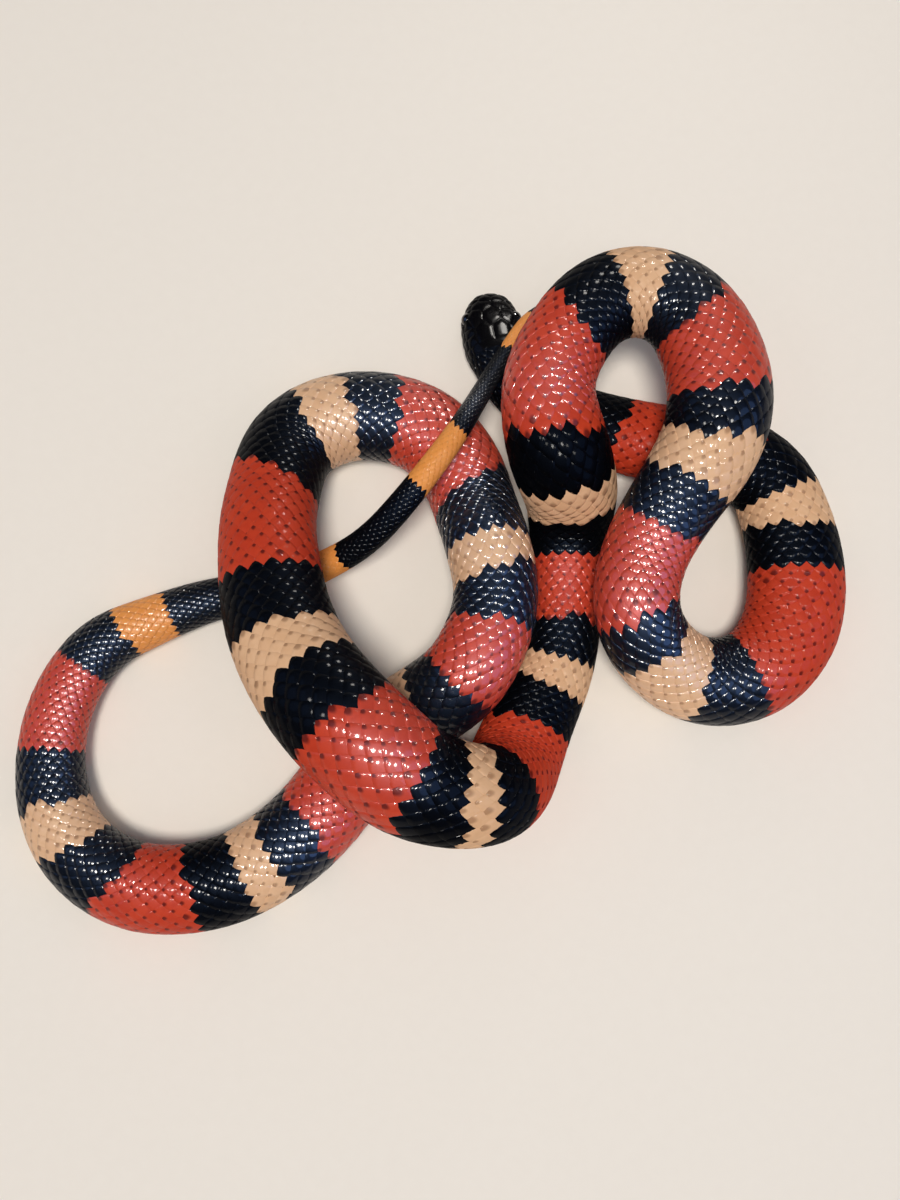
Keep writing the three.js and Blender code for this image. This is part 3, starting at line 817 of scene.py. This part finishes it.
def make_belly():
    """The broad plates of the belly, and the paired ones under the tail."""
    plate = Plate(PLATE_ACROSS, PLATE_ALONG, plate_shape, PLATE_EDGE)
    half = PLATE_HALF_TURN / 2
    paired = half + PAIR_OVERLAP
    row_plans = (
        (PLATES_FROM, VENT_AT, 0, -90, PLATE_HALF_TURN),
        (VENT_AT + 1, BODY_LENGTH - PLATES_STOP, 0, -90 - half, paired),
        (VENT_AT + 1, BODY_LENGTH - PLATES_STOP, 0.5, -90 + half, paired),
    )
    rows = []
    for start, end, offset, turn, width in row_plans:
        row = tips_between(start, end, offset)
        rows.append([row, np.full(len(row), turn), np.full(len(row), width)])
    tips, turns, halves = np.concatenate(rows, axis=1)
    lengths = pitch_at(tips)
    flat = np.zeros(len(tips))
    placed = place_plates(plate, tips, turns, halves, lengths, flat, flat)
    placed[..., 2] = np.maximum(placed[..., 2], FLOOR_GAP)
    kinds, _ = ring_at(tips - 0.5 * lengths, turns)
    mesh = joined_plates("belly_plates", plate, placed, unwrap(tips + PLATE_ROOT * lengths, turns))
    write_colours(mesh, np.repeat(BELLY_COLOURS[kinds], len(plate.corners), axis=0))
    return object_of("belly_plates", mesh)


# Pieces of the coat: name, colour, and the stretch where its scales end
SCALE_PIECES = [
    ("red_scales_front", "red", 0, 400),
    ("red_scales_rear", "red", 400, 2000),
    ("black_scales_front", "black", 0, 400),
    ("black_scales_rear", "black", 400, 2000),
    ("cream_scales", "cream", 0, 2000),
    ("orange_scales", "orange", 0, 2000),
]


GAZE_AHEAD = 0.07
GAZE_UP = 0.05


def make_eye(name, hand):
    """A glossy ball in its socket; the pupil looks outwards and a little forwards."""
    centre, forward, outward, up = cheek_point(*EYE_AT, hand)
    gaze = Vector(unit(outward - GAZE_AHEAD * forward + GAZE_UP * up))
    bm = bmesh.new()
    bmesh.ops.create_uvsphere(bm, u_segments=56, v_segments=40, radius=EYE_RADIUS * MM)
    pole = bm.verts.layers.float.new("from_pupil")
    for vert in bm.verts:
        vert[pole] = math.degrees(vert.co.angle(Vector((0, 0, 1))))
    turn = gaze.to_track_quat("Z", "Y").to_matrix().to_4x4()
    bmesh.ops.transform(bm, matrix=Matrix.Translation(Vector(centre) * MM) @ turn, verts=bm.verts)
    return object_of(name, mesh_of(bm, name))


# Finishes

COLOUR_MOTTLE = 1.6  # grain sizes in mm: of the scales' colour
KERATIN_GRAIN = 0.35  # of their surface
SKIN_MOTTLE = 1.2
SKIN_GRAIN = 0.3
PLATE_GRAIN = 0.6
IRIS_FIBRES = 0.12
BOARD_GRAIN = 3.0
GRAIN_DEPTH = 0.05
SMOOTH = {"interpolation_type": "SMOOTHSTEP"}
GRAIN_SPAN = (0.2, 0.8)  # values of the grain between which the roughness runs
TONE_SHARE = 0.5  # how far a scale may differ towards the deep colour, as a whole
MOTTLE_SHARE = 0.35  # and in patches
MARK_WIDE = 0.38  # half width of the dark spot at a scale's tip, in row spacings
MARK_LONG = 0.29  # and its length, in scale lengths
CLEAR_EDGE = (-0.2, -0.04)  # along a belly plate, where it turns clear
PUPIL = (26.0, 27.5)  # degrees from its middle over which its edge fades
IRIS_RING = (25.5, 27.0, 28.0, 31.0)  # over which the thin light ring comes and goes
IRIS = (38.0, 44.0)

# The clear glaze of a scale is rounder than it: rise in mm over a unit across and a length along
GLAZE_WIDE = 0.15
GLAZE_LONG = 1.3
GLAZE_CREST = 0.45  # its crest lies this far before the tip
GLOSS_GROWTH = 0.45  # weight of the glaze where the painted sheen is 1
LEAST_GLOSS = 0.02
LEAST_SHEEN = 0.01


def add_node(tree, kind, *inputs, **named):
    """Adds a node: its settings are in small letters, its sockets in order or by name, as values or nodes."""
    node = tree.nodes.new("ShaderNode" + kind)
    for key, value in named.items():
        if key[0].islower():
            setattr(node, key, value)
    pairs = list(zip([socket for socket in node.inputs if socket.enabled], inputs))
    pairs += [(node.inputs[key.replace("_", " ")], value) for key, value in named.items() if key[0].isupper()]
    for socket, value in pairs:
        if isinstance(value, bpy.types.Node):
            value = next(output for output in value.outputs if output.enabled)
        if isinstance(value, bpy.types.NodeSocket):
            tree.links.new(value, socket)
        else:
            socket.default_value = value
    return node


def new_material(name):
    """An empty material, its nodes, and the place of a point in metres."""
    material = bpy.data.materials.new(name)
    material.use_nodes = True
    tree = material.node_tree
    tree.nodes.clear()
    return material, tree, add_node(tree, "TexCoord").outputs["Object"]


def surfaced(material, **sockets):
    """The material, ended in one surface shader."""
    tree = material.node_tree
    shader = add_node(tree, "BsdfPrincipled", IOR=1.5, **sockets)
    add_node(tree, "OutputMaterial", Surface=shader)
    return material


def rgba(hex_colour):
    return (*linear(hex_colour), 1.0)


def mottled(tree, place, size, base, deep, until):
    """The base colour with patches of a deeper one, where the mottle is under a value."""
    mottle = add_node(tree, "TexNoise", Vector=place, Scale=1 / (size * MM), Detail=3.0)
    share = add_node(tree, "MapRange", mottle, 0.3, until, MOTTLE_SHARE, 0.0, **SMOOTH)
    return add_node(tree, "Mix", share, base, rgba(deep), data_type="RGBA")


def grained(tree, place, size, roughness, strength):
    """Roughness and bump of a surface with grains of a size in mm."""
    grain = add_node(tree, "TexNoise", Vector=place, Scale=1 / (size * MM), Detail=2.0)
    bump = add_node(tree, "Bump", Strength=strength, Distance=GRAIN_DEPTH * MM, Height=grain)
    return add_node(tree, "MapRange", grain, *GRAIN_SPAN, *roughness), bump


def scale_keratin(kind, light, deep, mark, mark_strength, sheen, sheen_strength):
    """Smooth glossy keratin of a keelless scale: one colour each, dark at the free tip, with a painted sheen
    that sets how strong its reflections and glints are.
    """
    material, tree, place = new_material(kind + "_scale_keratin")
    tone, amount, bloom = [add_node(tree, "Attribute", attribute_name=title).outputs["Fac"]
                           for title in ("tone", "mark", "bloom")]
    face = add_node(tree, "UVMap", uv_map="plate_face")
    across, along, _ = add_node(tree, "SeparateXYZ", face).outputs
    deepening = add_node(tree, "Math", tone, TONE_SHARE, operation="MULTIPLY")
    body = add_node(tree, "Mix", deepening, rgba(light), rgba(deep), data_type="RGBA")
    body = mottled(tree, place, COLOUR_MOTTLE, body, deep, 0.6)
    across_square = add_node(tree, "Math", across, across, operation="MULTIPLY")
    along_square = add_node(tree, "Math", along, along, operation="MULTIPLY")
    reach = add_node(tree, "Math", along_square, (MARK_WIDE / MARK_LONG) ** 2, across_square,
                     operation="MULTIPLY_ADD")
    reach = add_node(tree, "Math", reach, operation="SQRT")
    reach = add_node(tree, "Math", reach, amount, operation="DIVIDE")
    spot = add_node(tree, "MapRange", reach, 0.5 * MARK_WIDE, MARK_WIDE, mark_strength, 0.0, **SMOOTH)
    colour = add_node(tree, "Mix", spot, body, rgba(mark), data_type="RGBA")
    shine, bump = grained(tree, place, KERATIN_GRAIN, roughness=(0.48, 0.6), strength=0.12)
    before_crest = add_node(tree, "Math", along, GLAZE_CREST, operation="ADD")
    far = add_node(tree, "Math", before_crest, before_crest, operation="MULTIPLY")
    wide = add_node(tree, "Math", across_square, GLAZE_WIDE, operation="MULTIPLY")
    dome = add_node(tree, "Math", far, GLAZE_LONG, wide, operation="MULTIPLY_ADD")
    glaze = add_node(tree, "Bump", Strength=1.0, Distance=MM, Height=dome)
    # The painted sheen raises the broad reflection and the glaze's weight, so sheen and glints show where the
    # table puts them
    haze = add_node(tree, "Math", bloom, sheen_strength, LEAST_SHEEN, operation="MULTIPLY_ADD")
    gloss = add_node(tree, "Math", bloom, GLOSS_GROWTH, LEAST_GLOSS, operation="MULTIPLY_ADD")
    return surfaced(material, Base_Color=colour, Roughness=shine, Specular_IOR_Level=haze,
                    Specular_Tint=rgba(sheen), Coat_Weight=gloss, Coat_Roughness=0.12, Normal=bump,
                    Coat_Normal=glaze)


def ring_skin():
    """Thin, slightly moist skin with the colour of its ring, darker in patches."""
    material, tree, place = new_material("ring_skin")
    ring = add_node(tree, "Attribute", attribute_name="ring_colour")
    colour = mottled(tree, place, SKIN_MOTTLE, ring, "#060507", 0.65)
    shine, bump = grained(tree, place, SKIN_GRAIN, roughness=(0.22, 0.36), strength=0.15)
    return surfaced(material, Base_Color=colour, Roughness=shine, Specular_IOR_Level=0.04,
                    Coat_Weight=0.08, Coat_Roughness=0.1, Normal=bump)


def belly_keratin():
    """Broad smooth plates, paler than the back, with a thin clear free edge."""
    material, tree, place = new_material("belly_plate_keratin")
    face = add_node(tree, "UVMap", uv_map="plate_face")
    along = add_node(tree, "SeparateXYZ", face).outputs["Y"]
    ring = add_node(tree, "Attribute", attribute_name="ring_colour")
    edge = add_node(tree, "MapRange", along, *CLEAR_EDGE, 0.0, 0.6, **SMOOTH)
    pale = add_node(tree, "Mix", edge, ring, rgba("#c9b9a6"), data_type="RGBA")
    shine, bump = grained(tree, place, PLATE_GRAIN, roughness=(0.24, 0.4), strength=0.1)
    return surfaced(material, Base_Color=pale, Roughness=shine, Coat_Weight=0.25, Coat_Roughness=0.15,
                    Normal=bump)


def clear_eye():
    """The clear scale over a dark iris with a round black pupil."""
    material, tree, place = new_material("clear_eye_scale")
    angle = add_node(tree, "Attribute", attribute_name="from_pupil").outputs["Fac"]
    fibres = add_node(tree, "TexNoise", Vector=place, Scale=1 / (IRIS_FIBRES * MM), Detail=3.0)
    colour = add_node(tree, "Mix", fibres, rgba("#120805"), rgba("#34160c"), data_type="RGBA")
    rising = add_node(tree, "MapRange", angle, *IRIS_RING[:2], 0.0, 1.0, **SMOOTH)
    falling = add_node(tree, "MapRange", angle, *IRIS_RING[2:], 1.0, 0.0, **SMOOTH)
    ring = add_node(tree, "Math", rising, falling, operation="MULTIPLY")
    colour = add_node(tree, "Mix", ring, colour, rgba("#56301c"), data_type="RGBA")
    outside = add_node(tree, "MapRange", angle, *PUPIL, 0.0, 1.0, **SMOOTH)
    colour = add_node(tree, "Mix", outside, rgba("#020203"), colour, data_type="RGBA")
    outside = add_node(tree, "MapRange", angle, *IRIS, 0.0, 1.0, **SMOOTH)
    colour = add_node(tree, "Mix", outside, colour, rgba("#060507"), data_type="RGBA")
    return surfaced(material, Base_Color=colour, Roughness=0.12, Coat_Weight=0.45, Coat_Roughness=0.03)


def studio_floor():
    """Matt pale board."""
    material, tree, place = new_material("matt_pale_board")
    grain = add_node(tree, "TexNoise", Vector=place, Scale=1 / (BOARD_GRAIN * MM), Detail=3.0)
    share = add_node(tree, "Math", grain, 0.25, operation="MULTIPLY")
    colour = add_node(tree, "Mix", share, rgba("#efebe5"), rgba("#e4dfd8"), data_type="RGBA")
    return surfaced(material, Base_Color=colour, Roughness=0.85)


SKIN_COLOURS = np.array([linear(c) for c in ("#08080c", "#6a1c14", "#9a7350", "#a05e2a")])
BELLY_COLOURS = np.array([linear(c) for c in ("#17171d", "#b8503a", "#e6cda6", "#e3a468")])

# Stage

CAMERA_AT = (4.0, -61.8, 314.1)
CAMERA_TARGET = (4.0, -0.75, 0.0)
CAMERA_LENS = 42.24


def make_camera():
    data = bpy.data.cameras.new("camera")
    data.lens = CAMERA_LENS
    data.sensor_width = 36
    data.clip_start = 0.01
    camera = object_of("camera", data)
    place, target = Vector(CAMERA_AT) * MM, Vector(CAMERA_TARGET) * MM
    camera.location = place
    camera.rotation_euler = (target - place).to_track_quat("-Z", "Y").to_euler()
    bpy.context.scene.camera = camera


def make_light(name, kind, place, size, energy, colour, lights):
    """A soft light that looks at the middle and lights diffuse or glossy; a sun's size is its angle."""
    data = bpy.data.lights.new(name, kind)
    if kind == "SUN":
        data.angle = size
    else:
        data.shape = "DISK"
        data.size = size
    data.energy = energy
    data.color = linear(colour)
    light = object_of(name, data)
    light.location = place
    light.rotation_euler = (-Vector(place)).to_track_quat("-Z", "Y").to_euler()
    light.visible_diffuse = lights == "diffuse"
    light.visible_glossy = lights == "glossy"
    light.visible_camera = False


# Small lights that make the glints: place, diameter, power, in metres and watts
SPARKS = [
    (0.02, -0.1, 0.4, 0.08, 5.0), (0.2, -0.12, 0.4, 0.08, 1.6), (-0.16, -0.06, 0.4, 0.08, 1.3),
    (0.065, 0.2, 0.13, 0.05, 0.5),
]


def make_stage():
    bm = bmesh.new()
    bmesh.ops.create_grid(bm, x_segments=8, y_segments=8, size=30.0)
    floor = object_of("floor", mesh_of(bm, "floor"))
    floor.data.materials.append(studio_floor())
    bpy.context.scene.view_settings.view_transform = "Standard"
    world = bpy.data.worlds.new("studio")
    bpy.context.scene.world = world
    world.use_nodes = True
    background = world.node_tree.nodes["Background"]
    background.inputs[0].default_value = rgba("#dfe4ee")
    background.inputs[1].default_value = 0.24
    world.cycles_visibility.glossy = False
    make_light("key", "SUN", (-0.04, -0.2, 0.95), 0.25, 2.2, "#fff6ea", "diffuse")
    for k, (*place, size, energy) in enumerate(SPARKS):
        make_light(f"spark_{k}", "AREA", place, size, energy, "#fffaf2", "glossy")
    make_light("cool_right", "AREA", (0.75, -0.3, 0.5), 0.9, 10.0, "#80a9f2", "glossy")
    make_light("cool_left", "AREA", (-0.75, 0.1, 0.5), 0.7, 1.5, "#80a9f2", "glossy")


# Putting it together

make_camera()
make_stage()

# Colour, deep colour, colour and strength of the tip's mark, tint of the sheen, and how strongly the painted
# sheen raises the sheen
SCALE_LOOKS = {
    "red": ("#cc4529", "#b63520", "#54100d", 0.85, "#ffc4d0", 0.32),
    "black": ("#050609", "#030305", "#020203", 0.6, "#9dc0ff", 0.14),
    "cream": ("#eac19c", "#dcae86", "#6e3c1a", 0.5, "#ffffff", 0.2),
    "orange": ("#f2a254", "#e69345", "#b0601e", 0.15, "#ffffff", 0.15),
}
SCALE_FINISHES = {kind: scale_keratin(kind, *look) for kind, look in SCALE_LOOKS.items()}

skin = make_skin()
skin.data.materials.append(ring_skin())
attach(skin, "root")
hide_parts(*FLESH_NODES)

for piece, kind in make_scales():
    piece.data.materials.append(SCALE_FINISHES[kind])
    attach(piece, "root")

belly = make_belly()
belly.data.materials.append(belly_keratin())
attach(belly, "root")

eye_finish = clear_eye()
for node, hand in (("eye_left", 1), ("eye_right", -1)):
    eye = make_eye(node.replace("eye", "eyeball"), hand)
    eye.data.materials.append(eye_finish)
    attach(eye, "root")
    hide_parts(node)
